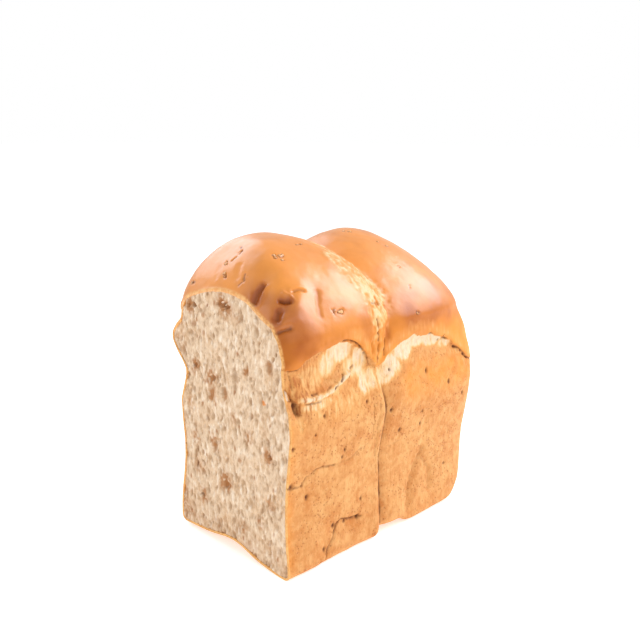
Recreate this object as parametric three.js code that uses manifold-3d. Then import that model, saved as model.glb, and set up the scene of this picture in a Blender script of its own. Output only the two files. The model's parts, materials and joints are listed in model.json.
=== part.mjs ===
// End piece of a tin-baked grain loaf: two risen lobes side by side, cut flat at the near end.
// Millimetres, +Z up. X runs across the loaf, Y along it, and the cut faces -Y.

import * as THREE from "three";
import { mergeVertices } from "three/addons/utils/BufferGeometryUtils.js";
import Module from "manifold-3d";

const { smoothstep, lerp } = THREE.MathUtils;

// Driving dimensions
const cutY = -87; // the flat cut
const footZ = -2.5; // resting plane, under the level that the heights are counted from
const endY = 104; // far end wall at the rim
const rearCentreY = 38; // middle of the far lobe
const rimHeight = 104; // top edge of the tin that the loaf was baked in
const capHeight = 145; // widest level of the glossy domes
const footEdge = 3; // radius along the bottom edges of the long sides
const capCentreX = -3;
const leftToRight = [-0.8, 0.5]; // directions across the cap between which its fullness changes
const sideToEnd = 0.6; // direction along the cap from which its end's own fullness counts in full

// Cells of each lobe's grid: across, along, and up to the cap's widest level, then above it
const cells = { across: 24, along: 20, wall: 11, band: 10, shoulder: 6 };
const footCrowding = 1.6; // above 1, the wall's rows lie closer together towards the foot

// Half widths measured outwards from x = 0, at heights from the base
const rightWall = profile([
  [footZ, 54.5],
  [28, 52.5],
  [60, 53],
  [88, 55.5],
  [rimHeight, 54.5],
  [118, 52],
  [132, 53],
  [capHeight, 54.5],
]);
const leftWall = profile([
  [footZ, 55],
  [20, 54],
  [50, 50],
  [70, 50.5],
  [88, 54],
  [rimHeight, 51.5],
  [125, 52],
  [capHeight, 55],
]);

// The dough spilled over the tin on the -X side: a waist over the rim, then a roll that hangs out
const overhangFrom = 80;
const overhang = profile([
  [overhangFrom, 0],
  [rimHeight, -5.5],
  [111, -6],
  [122, 4],
  [132, 11],
  [capHeight, 2],
]);

// Lobes: centre, apex, how far it leans towards -X, squareness of the corners, and how far the wall and
// the cap reach to the front and the back of the centre. Fullness shapes the cap's slope: 2 is an ellipse.
const frontLobe = {
  centreY: -45,
  apex: 199,
  lean: 14,
  fullness: { left: 1.75, right: 2 },
  overhang: { front: 1, middle: 0.95, back: 0.5 },
  corner: { wall: 16, cap: 5 },
  front: { wall: 52, cap: 46.8, footEdge: 4, draft: 0, fullness: 2 },
  back: { wall: 44, cap: 60, footEdge: 4, draft: 0, fullness: 2 },
};
const rearLobe = {
  centreY: rearCentreY,
  apex: 196,
  lean: 20,
  fullness: { left: 1.75, right: 1.65 },
  overhang: { front: 0.5, middle: 0.8, back: 0 },
  corner: { wall: 8, cap: 2.5 },
  front: { wall: 46.5, cap: 68, footEdge: 4, draft: 0, fullness: 2 },
  back: { wall: endY - rearCentreY, cap: 69, footEdge: 20, draft: 8, fullness: 1.5 },
};

// Torn bands under the caps on the +X side, as heights along Y: the cap's lip and the wall's upper edge
const tornBands = [
  {
    depth: 2.6,
    lip: profile([[-90, 131], [-72, 134], [-45, 140], [-30, 136.5], [-19, 127], [-10, 106]]),
    sill: profile([[-90, 110], [-60, 110], [-40, 116], [-26, 112], [-12, 106]]),
  },
  {
    depth: 1.8,
    lip: profile([[-8, 112], [2, 127], [20, 132], [42, 130], [62, 123], [80, 111], [94, 104]]),
    sill: profile([[-8, 104], [14, 111], [38, 119], [60, 116], [80, 107], [94, 104]]),
  },
];

// Furrows (below 0) and ridges (above 0): the line each follows, its half width and its height
const furrows = [
  { height: -3.4, width: 3, line: [[54, -87, 120], [54, -79, 104]] }, // notch at the end of the front band
  { height: 1.8, width: 3, line: [[53, -80, 109], [53, -60, 110], [53, -42, 118]] }, // folded ledge
  { height: -1.6, width: 2.4, line: [[53, -56, 115], [53, -42, 122]] }, // crack above the ledge
  { height: -1.4, width: 2.6, line: [[52, -60, 0], [53, -56, 14], [53, -46, 20], [53, -26, 19]] },
  { height: -2.2, width: 3.2, line: [[53, 41, 48], [53, 33, 35], [53, 28, 20], [53, 26, 5]] }, // rear fold
  { height: -1.2, width: 3, line: [[53, 40, 42], [53, 48, 33], [53, 50, 16]] }, // its branch
  { height: -2.6, width: 4.5, line: [[21, -74, 183], [22, -80, 178]] }, // creases by the cut
  { height: -3, width: 4, line: [[40, -80, 167], [40, -74, 170]] },
  { height: -2.6, width: 4, line: [[38, -82, 161], [41, -79, 164]] },
  { height: 1.6, width: 4, line: [[44, -78, 161], [43, -68, 168], [40, -60, 173]] },
  { height: -1.8, width: 3, line: [[44, -88, 151], [50, -79, 152]] },
  { height: -1.2, width: 4, line: [[40, -54, 173], [46, -56, 163], [51, -58, 155]] },
];

// How much the dome's edge at the cut is raised, across the cut, and how far back that reaches
const brow = {
  lift: profile([
    [-50, 0],
    [-38, -1],
    [-20, 2.2],
    [-10, 2.4],
    [0, 1],
    [10, -1.5],
    [19, -3.5],
    [27, -7],
    [34, -6.5],
    [42, -0.5],
    [50, 0],
  ]),
  reach: 17,
  fromZ: 140,
  toZ: 154,
};

// Larger holes in the crumb at the cut: middle, and half sizes across and up
const holes = [
  { x: -6, z: 160, halfX: 7.5, halfZ: 2 },
  { x: -36, z: 115, halfX: 3, halfZ: 2.4 },
  { x: -17, z: 110.5, halfX: 4.4, halfZ: 2.6 },
  { x: -6, z: 42, halfX: 3.4, halfZ: 5 },
  { x: 36, z: 73, halfX: 2.6, halfZ: 2.8 },
  { x: -34, z: 155, halfX: 3.2, halfZ: 2 },
];

// Underside: how far it stands off the table across the cut, and beside the seam on the +X side
const cutFoot = profile([[-54, 2.5], [-24, 4.5], [-2, 7.8], [6, 7.4], [24, 2.6], [44, 0]]);
const cutFootEnd = -30;
const seamFoot = { lift: 4.5, middleY: 9, flat: 8, reach: 19 };

function profile(stops) {
  const heights = stops.map(([height]) => height);
  const sizes = stops.map(([, size]) => size);
  const curve = new THREE.CubicInterpolant(heights, sizes, 1, new Float64Array(1));
  return (height) => curve.evaluate(height)[0];
}

// Superellipse radius in direction (dx, dy) of unit length
function planRadius(dx, dy, halfX, halfY, corner) {
  const sum = (Math.abs(dx) / halfX) ** corner + (Math.abs(dy) / halfY) ** corner;
  return sum ** (-1 / corner);
}

// How far a rounded bottom edge stands back at a height
function edgeInset(radius, height) {
  const rise = Math.min(height - footZ, radius);
  return radius - Math.sqrt(radius ** 2 - (radius - rise) ** 2);
}

// Distance from x = 0 to the wall on the side of u; v runs along the lobe
function wallReach(lobe, u, v, height) {
  if (u >= 0) return rightWall(height);
  const side = v < 0 ? "front" : "back";
  const share = lerp(lobe.overhang.middle, lobe.overhang[side], smoothstep(Math.abs(v), 0, 1));
  return leftWall(height) + (height > overhangFrom ? overhang(height) * share : 0);
}

// Wall point at a height, in the direction of (u, v) on the unit square's edge
function wallPoint(lobe, u, v, height) {
  const blend = smoothstep(height, rimHeight - 6, capHeight);
  const end = v < 0 ? lobe.front : lobe.back;
  const taper = end.draft * (1 - smoothstep(height, footZ, rimHeight));
  const halfY = lerp(end.wall, end.cap, blend) - taper - edgeInset(end.footEdge, height);
  const corner = lerp(lobe.corner.wall, lobe.corner.cap, blend);
  const centreX = lerp(0, capCentreX, blend);
  const halfX = wallReach(lobe, u, v, height) - Math.sign(u) * centreX - edgeInset(footEdge, height);
  const direction = new THREE.Vector2(u * halfX, v * halfY).normalize();
  const radius = planRadius(direction.x, direction.y, halfX, halfY, corner);
  return new THREE.Vector3(centreX + direction.x * radius, lobe.centreY + direction.y * radius, height);
}

// Fullness of the cap in a direction, between that of its sides and that of its end
function capFullness(lobe, direction) {
  const side = lerp(lobe.fullness.left, lobe.fullness.right, smoothstep(direction.x, ...leftToRight));
  const end = (direction.y < 0 ? lobe.front : lobe.back).fullness;
  return Math.min(side, lerp(side, end, smoothstep(Math.abs(direction.y), 0, sideToEnd)));
}

// Cap point in the direction of (u, v, rise) from the middle of the cap's widest level
function capPoint(lobe, u, v, rise) {
  const halfY = (v < 0 ? lobe.front : lobe.back).cap;
  const halfX = wallReach(lobe, u, v, capHeight) - Math.sign(u) * capCentreX;
  const tall = lobe.apex - capHeight;
  const direction = new THREE.Vector3(u * halfX, v * halfY, rise * tall).normalize();
  const corner = lobe.corner.cap;
  const plan = (Math.abs(direction.x) / halfX) ** corner + (Math.abs(direction.y) / halfY) ** corner;
  const fullness = capFullness(lobe, direction);
  const radius = (plan ** (fullness / corner) + (direction.z / tall) ** fullness) ** (-1 / fullness);
  const point = direction.multiplyScalar(radius);
  point.x += capCentreX - lobe.lean * (point.z / tall);
  point.y += lobe.centreY;
  point.z += capHeight;
  return point;
}

// Dough lobe as a deformed box grid: flat foot, walls shaped by the tin, domed cap
function lobeGeometry(lobe) {
  const rows = cells.wall + cells.band + cells.shoulder;
  const box = new THREE.BoxGeometry(2, 2, rows, cells.across, cells.along, rows);
  box.deleteAttribute("normal");
  box.deleteAttribute("uv");
  const grid = mergeVertices(box, 1e-4);
  const places = grid.getAttribute("position");
  const point = new THREE.Vector3();
  for (let i = 0; i < places.count; i++) {
    point.fromBufferAttribute(places, i);
    const row = point.z + rows / 2;
    const spread = Math.max(Math.abs(point.x), Math.abs(point.y));
    const onFoot = row < 1e-3;
    let made;
    if (onFoot) {
      const edge = spread > 1e-6 ? wallPoint(lobe, point.x / spread, point.y / spread, footZ) : null;
      const middle = new THREE.Vector3(0, lobe.centreY, footZ);
      made = edge ? middle.clone().lerp(edge, spread) : middle;
    } else if (row < cells.wall) {
      const share = row / cells.wall;
      made = wallPoint(lobe, point.x, point.y, lerp(footZ, rimHeight, share ** footCrowding));
    } else if (row <= cells.wall + cells.band) {
      const share = (row - cells.wall) / cells.band;
      made = wallPoint(lobe, point.x, point.y, lerp(rimHeight, capHeight, share));
    } else {
      const share = (row - cells.wall - cells.band) / cells.shoulder;
      made = capPoint(lobe, point.x, point.y, Math.tan(share * Math.PI / 4));
    }
    places.setXYZ(i, made.x, made.y, made.z);
  }
  return grid;
}

function solid(geometry) {
  const triVerts = new Uint32Array(geometry.index.array);
  const vertProperties = new Float32Array(geometry.getAttribute("position").array);
  return new wasm.Manifold(new wasm.Mesh({ numProp: 3, vertProperties, triVerts }));
}

function geometryOf(made) {
  const mesh = made.getMesh();
  const geometry = new THREE.BufferGeometry();
  geometry.setAttribute("position", new THREE.BufferAttribute(new Float32Array(mesh.vertProperties), 3));
  geometry.setIndex(new THREE.BufferAttribute(new Uint32Array(mesh.triVerts), 1));
  return geometry;
}

const wasm = await Module();
wasm.setup();

// Recess under each cap's lip, deepest right under it and gone at the wall's upper edge
function bandRelief(point) {
  let depth = 0;
  for (const band of tornBands) {
    const lip = band.lip(point.y);
    const sill = band.sill(point.y);
    const underLip = smoothstep(lip - point.z, -1.5, 2.5);
    const overSill = smoothstep(point.z, sill - 3, lerp(sill, lip, 0.8));
    depth += band.depth * underLip * overSill;
  }
  return -depth;
}

function furrowRelief(point) {
  let height = 0;
  for (const furrow of furrows) {
    const gaps = furrow.line.slice(1).map((end, i) => gapToSegment(point, furrow.line[i], end));
    const gap = Math.min(...gaps);
    height += furrow.height * Math.exp(-((gap / furrow.width) ** 2));
  }
  return height;
}

function gapToSegment(point, start, end) {
  const segment = new THREE.Line3(new THREE.Vector3(...start), new THREE.Vector3(...end));
  const nearest = segment.closestPointToPoint(point, true, new THREE.Vector3());
  return nearest.distanceTo(point);
}

// Gentle unevenness of the baked dough, about a millimetre either way
function lumps(point) {
  const across = Math.sin(point.y / 13 + 0.7) * Math.sin(point.z / 19 + 1.9);
  const along = Math.sin(point.x / 15 + point.z / 27) * Math.sin(point.y / 21 - 0.4);
  return 0.6 * across + 0.5 * along;
}

function footLift(point) {
  const nearCut = 1 - smoothstep(point.y, cutY, cutFootEnd);
  const nearSeam = 1 - smoothstep(Math.abs(point.y - seamFoot.middleY), seamFoot.flat, seamFoot.reach);
  const onSide = smoothstep(point.x, 8, 40);
  const fade = 1 - smoothstep(point.z, footZ, 32);
  return (cutFoot(point.x) * nearCut + seamFoot.lift * nearSeam * onSide) * fade;
}

function browLift(point) {
  const nearCut = 1 - smoothstep(point.y, cutY, cutY + brow.reach);
  return brow.lift(point.x) * nearCut * smoothstep(point.z, brow.fromZ, brow.toZ);
}

// Raises and lowers the joined loaf's skin, and lifts its underside
function shapeSkin(geometry) {
  geometry.computeVertexNormals();
  const places = geometry.getAttribute("position");
  const normals = geometry.getAttribute("normal");
  const point = new THREE.Vector3();
  const normal = new THREE.Vector3();
  for (let i = 0; i < places.count; i++) {
    point.fromBufferAttribute(places, i);
    normal.fromBufferAttribute(normals, i);
    const onRight = smoothstep(normal.x, 0.5, 0.9);
    const offFoot = smoothstep(point.z, footZ, 20);
    const relief = bandRelief(point) * onRight + furrowRelief(point) + lumps(point) * offFoot;
    const lift = footLift(point) + browLift(point);
    point.addScaledVector(normal, relief);
    point.z += lift;
    places.setXYZ(i, point.x, point.y, point.z);
  }
  geometry.deleteAttribute("normal");
  return geometry;
}

function cutter(geometry) {
  geometry.deleteAttribute("normal");
  geometry.deleteAttribute("uv");
  return solid(mergeVertices(geometry, 1e-4));
}

function knife() {
  const [wide, deep, tall] = [300, 100, 500];
  const box = new THREE.BoxGeometry(wide, deep, tall);
  box.translate(0, cutY - deep / 2, 0);
  return cutter(box);
}

function crumbHole(hole) {
  const ball = new THREE.IcosahedronGeometry(1, 1);
  ball.scale(hole.halfX, Math.min(hole.halfX, hole.halfZ) * 1.2, hole.halfZ);
  ball.translate(hole.x, cutY, hole.z);
  return cutter(ball);
}

function loafGeometry() {
  const joined = solid(lobeGeometry(frontLobe)).add(solid(lobeGeometry(rearLobe)));
  let cut = solid(shapeSkin(geometryOf(joined))).subtract(knife());
  for (const hole of holes) cut = cut.subtract(crumbHole(hole));
  return restOnOrigin(geometryOf(cut));
}

// Origin under the middle of the bounding box
function restOnOrigin(geometry) {
  geometry.computeBoundingBox();
  const { min, max } = geometry.boundingBox;
  return geometry.translate(-(min.x + max.x) / 2, -(min.y + max.y) / 2, -min.z);
}

const loaf = new THREE.Mesh(
  loafGeometry(),
  new THREE.MeshStandardMaterial({ color: 0xd9a066, roughness: 0.55, metalness: 0 }),
);
loaf.name = "loaf";

const part = new THREE.Group();
part.add(loaf);
export default part;
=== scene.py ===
import bpy
import json
import math
import numpy as np
from mathutils import Matrix, Vector

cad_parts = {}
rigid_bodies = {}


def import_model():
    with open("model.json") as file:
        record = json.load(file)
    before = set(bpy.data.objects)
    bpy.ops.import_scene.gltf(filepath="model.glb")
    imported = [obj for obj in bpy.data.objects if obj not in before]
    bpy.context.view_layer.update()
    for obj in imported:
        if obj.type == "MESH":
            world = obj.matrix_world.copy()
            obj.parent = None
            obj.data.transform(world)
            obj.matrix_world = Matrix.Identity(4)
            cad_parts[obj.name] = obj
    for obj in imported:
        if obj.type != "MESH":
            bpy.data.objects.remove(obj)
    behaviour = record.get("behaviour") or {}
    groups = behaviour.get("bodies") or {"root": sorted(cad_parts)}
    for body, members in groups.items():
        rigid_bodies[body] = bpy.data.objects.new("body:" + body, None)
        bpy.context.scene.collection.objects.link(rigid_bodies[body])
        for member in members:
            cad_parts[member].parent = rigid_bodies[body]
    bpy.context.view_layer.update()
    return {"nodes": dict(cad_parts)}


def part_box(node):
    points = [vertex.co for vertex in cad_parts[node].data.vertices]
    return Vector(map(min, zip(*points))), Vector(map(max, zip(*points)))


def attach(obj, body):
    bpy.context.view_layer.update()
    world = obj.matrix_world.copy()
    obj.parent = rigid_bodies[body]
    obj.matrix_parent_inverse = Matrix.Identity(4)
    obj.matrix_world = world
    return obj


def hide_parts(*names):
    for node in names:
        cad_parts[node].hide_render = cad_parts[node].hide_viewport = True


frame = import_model()
mm = 0.001
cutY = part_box("loaf")[0].y  # the cut face looks along -Y

# Places on the loaf are in mm: across from its middle, along from the cut, up from the table.
seamAlong = 82.5  # where the two lobes meet


# small tools

def selectOnly(*objs):
    bpy.ops.object.select_all(action="DESELECT")
    for obj in objs:
        obj.select_set(True)
    bpy.context.view_layer.objects.active = objs[0]


def applyModifier(obj, kind, **settings):
    selectOnly(obj)
    modifier = obj.modifiers.new(kind.title(), kind)
    for name, value in settings.items():
        setattr(modifier, name, value)
    bpy.ops.object.modifier_apply(modifier=modifier.name)


def readPoints(mesh):
    flat = np.zeros(len(mesh.vertices) * 3, np.float32)
    mesh.vertices.foreach_get("co", flat)
    return flat.reshape(-1, 3).astype(float)


def writePoints(mesh, points):
    mesh.vertices.foreach_set("co", points.astype(np.float32).ravel())
    mesh.update()


def readNormals(mesh):
    flat = np.zeros(len(mesh.vertices) * 3, np.float32)
    mesh.vertex_normals.foreach_get("vector", flat)
    return flat.reshape(-1, 3).astype(float)


def toLoaf(points):  # metres to mm across, along, up
    return np.column_stack([points[:, 0], points[:, 1] - cutY, points[:, 2]]) / mm


def keepMask(mesh, name, values):
    layer = mesh.attributes.new(name, "FLOAT", "POINT")
    layer.data.foreach_set("value", np.clip(values, 0, 1).astype(np.float32))


def ramp(values, start, end):  # smooth step, 0 at start and 1 at end
    t = np.clip((values - start) / (end - start), 0, 1)
    return t * t * (3 - 2 * t)


def softNoise(points, cell, seed):  # seeded smooth field from -1 to 1, one lump a cell
    spot = points / np.broadcast_to(np.asarray(cell, float), points.shape[1:]) + 500
    base = np.floor(spot).astype(np.int64)
    share = spot - base
    share = share * share * (3 - 2 * share)
    total = np.zeros(len(points))
    for corner in range(8):
        step = np.array([corner & 1, corner >> 1 & 1, corner >> 2 & 1])
        key = (base + step) @ np.array([73856093, 19349663, 83492791]) + seed * 7919
        key = (key ^ (key >> 13)) * 1274126177 & 0x7FFFFFFF
        key = (key ^ (key >> 15)) * 668265263 & 0x7FFFFFFF
        weight = np.prod(np.where(step == 1, share, 1 - share), axis=1)
        total += weight * (key / 0x3FFFFFFF - 1)
    return total


def gapToLine(points, line):  # mm to a line through places, in two or three dimensions
    line = np.array(line, float)
    best = np.full(len(points), 1e6)
    for start, end in zip(line[:-1], line[1:]):
        run = end - start
        share = np.clip((points - start) @ run / (run @ run), 0, 1)
        best = np.minimum(best, np.linalg.norm(points - start - share[:, None] * run, axis=1))
    return best


def bump(gap, width):
    return np.exp(-((gap / width) ** 2))


def levelAt(profile, along):
    profile = np.array(profile, float)
    return np.interp(along, profile[:, 0], profile[:, 1])


# camera at the photograph's viewing angle

camera = {
    "position": (0.37523, cutY - 0.29476, 0.26418),
    "azimuth": 44.86,
    "elevation": 13.17,
    "roll": 0.54,
    "lens": 45,
    "sensor": 36,
}


def placeCamera():
    turn, rise, roll = (math.radians(camera[name]) for name in ("azimuth", "elevation", "roll"))
    back = Vector((math.sin(turn) * math.cos(rise), -math.cos(turn) * math.cos(rise), math.sin(rise)))
    right = Vector((0, 0, 1)).cross(back).normalized()
    up = back.cross(right)
    tilted = right * math.cos(roll) + up * math.sin(roll)
    place = Matrix((tilted, back.cross(tilted), back)).transposed().to_4x4()
    place.translation = camera["position"]
    data = bpy.data.cameras.new("camera")
    data.lens = camera["lens"]
    data.sensor_width = camera["sensor"]
    obj = bpy.data.objects.new("camera", data)
    bpy.context.scene.collection.objects.link(obj)
    obj.matrix_world = place
    bpy.context.scene.camera = obj


placeCamera()
print("camera set")


# crust: the two lobes of the loaf

lobe = {
    "grid": 0.78 * mm,
    "smoothing": 26,  # rounds off the flat faces of the plain solid
    "domeSmoothing": 90,
    "domeFrom": (134, 152),  # mm up, where it starts and where it is full
    "spare": 8 * mm,  # grown past both ends, then cut off again for crisp edges
    "overlap": 2.5 * mm,  # how far each lobe runs into its neighbour at the seam
    "curl": 0.09,  # how much it turns in there
    "rim": 1.5 * mm,  # width of the crust's cut edge
    "rimHidden": 0.4 * mm,  # part of it under the crumb
    "recess": 4 * mm,  # room for the crumb inside the rim
    "mostTriangles": 192000,
    "sharpAngle": 50,  # degrees, for smooth shading
}


def editAll(obj):
    selectOnly(obj)
    bpy.ops.object.mode_set(mode="EDIT")
    bpy.ops.mesh.select_mode(type="VERT")
    bpy.ops.mesh.select_all(action="SELECT")


def pickFaces(obj, test):  # leaves the object in edit mode with those faces selected
    editAll(obj)
    bpy.ops.mesh.select_mode(type="FACE")
    bpy.ops.mesh.select_all(action="DESELECT")
    bpy.ops.object.mode_set(mode="OBJECT")
    for face in obj.data.polygons:
        face.select = test(face)
    bpy.ops.object.mode_set(mode="EDIT")


def onCut(face):
    return face.normal.y < -0.99 and abs(face.center.y - cutY) < 0.02 * mm


def takeOffCut(obj):  # the flat cut and the holes in it go, the skin stays
    pickFaces(obj, onCut)
    bpy.ops.mesh.delete(type="FACE")
    bpy.ops.object.mode_set(mode="OBJECT")
    highest = max(obj.data.polygons, key=lambda face: face.center.z).index
    pickFaces(obj, lambda face: face.index == highest)
    bpy.ops.mesh.select_linked()
    bpy.ops.mesh.select_all(action="INVERT")
    bpy.ops.mesh.delete(type="FACE")


def growEnd(obj, reach, curl):  # runs the open end on past its plane and caps it
    bpy.ops.object.mode_set(mode="OBJECT")
    slopes = {(round(v.co.x, 6), round(v.co.z, 6)): v.normal.copy() for v in obj.data.vertices}
    bpy.ops.object.mode_set(mode="EDIT")
    bpy.ops.mesh.select_mode(type="EDGE")
    bpy.ops.mesh.select_all(action="DESELECT")
    bpy.ops.mesh.select_non_manifold()
    bpy.ops.mesh.extrude_edges_move(TRANSFORM_OT_translate={"value": (0, reach, 0)})
    bpy.ops.object.mode_set(mode="OBJECT")
    for vertex in obj.data.vertices:
        if not vertex.select:
            continue
        if curl:  # turns in towards the middle of the loaf
            vertex.co.x *= 1 - curl
            vertex.co.z += (0.1 - vertex.co.z) * curl
        else:  # goes on at the skin's own slope
            slope = slopes[(round(vertex.co.x, 6), round(vertex.co.z, 6))]
            inward = abs(reach) * slope.y / max(1 - slope.y**2, 0.2)
            vertex.co.x += inward * slope.x
            vertex.co.z += inward * slope.z
    bpy.ops.object.mode_set(mode="EDIT")
    bpy.ops.mesh.edge_face_add()


def trimEnd(obj, along, facing):
    editAll(obj)
    plane = Vector((0, cutY + along, 0))
    bpy.ops.mesh.bisect(plane_co=plane, plane_no=(0, facing, 0), use_fill=True, clear_outer=True)
    bpy.ops.object.mode_set(mode="OBJECT")


def startLobe(name, front):
    obj = bpy.data.objects.new(name, frame["nodes"]["loaf"].data.copy())
    bpy.context.scene.collection.objects.link(obj)
    obj.data.materials.clear()
    editAll(obj)
    bpy.ops.mesh.remove_doubles(threshold=1e-6)
    seam = Vector((0, cutY + seamAlong * mm, 0))
    if front:
        bpy.ops.object.mode_set(mode="OBJECT")
        takeOffCut(obj)
        growEnd(obj, -lobe["spare"], 0)
        bpy.ops.mesh.select_all(action="SELECT")
    bpy.ops.mesh.bisect(plane_co=seam, plane_no=(0, 1, 0), clear_outer=front, clear_inner=not front)
    growEnd(obj, lobe["spare"] if front else -lobe["spare"], lobe["curl"])
    bpy.ops.mesh.select_all(action="SELECT")
    bpy.ops.mesh.normals_make_consistent(inside=False)
    bpy.ops.object.mode_set(mode="OBJECT")
    applyModifier(obj, "REMESH", mode="VOXEL", voxel_size=lobe["grid"])
    applyModifier(obj, "SMOOTH", factor=0.5, iterations=lobe["smoothing"])
    dome = obj.vertex_groups.new(name="dome")
    height = readPoints(obj.data)[:, 2] / mm
    for weight in (0.2, 0.4, 0.6, 0.8, 1):
        low, high = lobe["domeFrom"]
        reached = np.nonzero(height > low + (high - low) * weight)[0]
        dome.add(reached.tolist(), weight, "REPLACE")
    applyModifier(obj, "SMOOTH", factor=0.5, iterations=lobe["domeSmoothing"], vertex_group="dome")
    obj.vertex_groups.clear()
    if front:
        trimEnd(obj, 0, -1)
        trimEnd(obj, seamAlong * mm + lobe["overlap"], 1)
    else:
        trimEnd(obj, seamAlong * mm - lobe["overlap"], -1)
    return obj


# torn bands under the glossy caps: lip above and the wall's edge below, as (along, up)
rightBands = [
    {
        "lip": [(-6, 133), (4, 131.5), (11, 131.5), (16, 137), (23, 139.5), (33, 139), (41, 141.5), (50, 142),
                (57, 139), (63, 134.5), (68, 130), (72, 125.5), (77, 119)],
        "sill": [(-6, 106), (10, 104), (25, 106), (38, 110.5), (47, 117), (55, 114), (62, 105), (77, 100)],
    },
    {
        "lip": [(79, 118), (84, 120.5), (88, 123), (94, 127.5), (101, 131), (110, 134), (121, 133.5),
                (132, 132.5), (145, 127.5), (156, 123), (163, 117.5), (172, 111), (184, 104)],
        "sill": [(79, 103), (91, 108.5), (101, 112), (112, 116), (124, 118.5), (135, 119.5), (148, 118.5),
                 (159, 114.5), (172, 108), (184, 101)],
    },
]
leftBands = [
    {
        "lip": [(-6, 152), (20, 154), (45, 155), (62, 150), (76, 134)],
        "sill": [(-6, 113), (40, 112), (76, 112)],
    },
    {
        "lip": [(86, 132), (102, 146), (122, 148), (145, 140), (165, 122), (182, 107)],
        "sill": [(86, 110), (125, 114), (150, 112), (182, 103)],
    },
]
bandLook = {"depth": 1.1, "lipSwell": 0.7, "shreds": 0.38}
tornSpots = [  # (along, up, reach along, reach up, strength): where the right bands' dough shows palest
    (45, 136, 12, 8, 1.0), (34, 129.5, 9, 8.5, 0.75), (62, 126, 7, 12, 0.85), (66, 112, 6, 10, 0.8),
    (54, 124, 9, 8, 0.6), (24, 107.5, 18, 3.4, 0.62), (20, 124, 12, 9, 0.42), (6, 122, 8, 11, 0.25),
    (40, 112, 8, 4, 0.55), (104, 127, 10, 9, 1.0), (118, 131, 16, 6, 1.0), (136, 128, 13, 5.5, 0.95),
    (92, 117, 9, 9, 0.9), (150, 122, 9, 4, 0.75), (164, 114, 10, 4, 0.4), (73, 113, 7, 8, 0.8),
    (80, 112, 7, 8, 0.85), (87, 113, 6, 8, 0.8),
]
foldedLedge = {  # across the front band
    "line": [(5, 113), (11, 112.8), (20, 112), (30, 112.4), (38, 114), (46, 118), (52, 120)],
    "height": 1.7,
    "width": 2.1,
}
seamLine = [  # (up, along) on the right wall
    (12.5, 82.5), (37.5, 82), (57.5, 81), (67.5, 82), (77.5, 83.5), (87.5, 84.5), (97.5, 83), (107.5, 80),
    (120.5, 78),
]
seamLook = {"reach": 16, "lap": 0.9, "dip": 1.6, "width": 4}  # the front lobe laps over, the rear one dips
valley = {  # pale torn strip between the domes, as (up, along) of its middle, in mm
    "middle": [(104, 77.5), (118, 78), (130, 78.5), (140, 79), (150, 80.5), (160, 83.5), (168, 82), (175, 77.5),
               (183, 75), (193, 74)],
    "halfWidth": [(104, 7), (112, 10), (124, 10), (137, 10), (150, 12), (160, 14.5), (168, 15.5), (175, 16),
                  (193, 14)],
}
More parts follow.
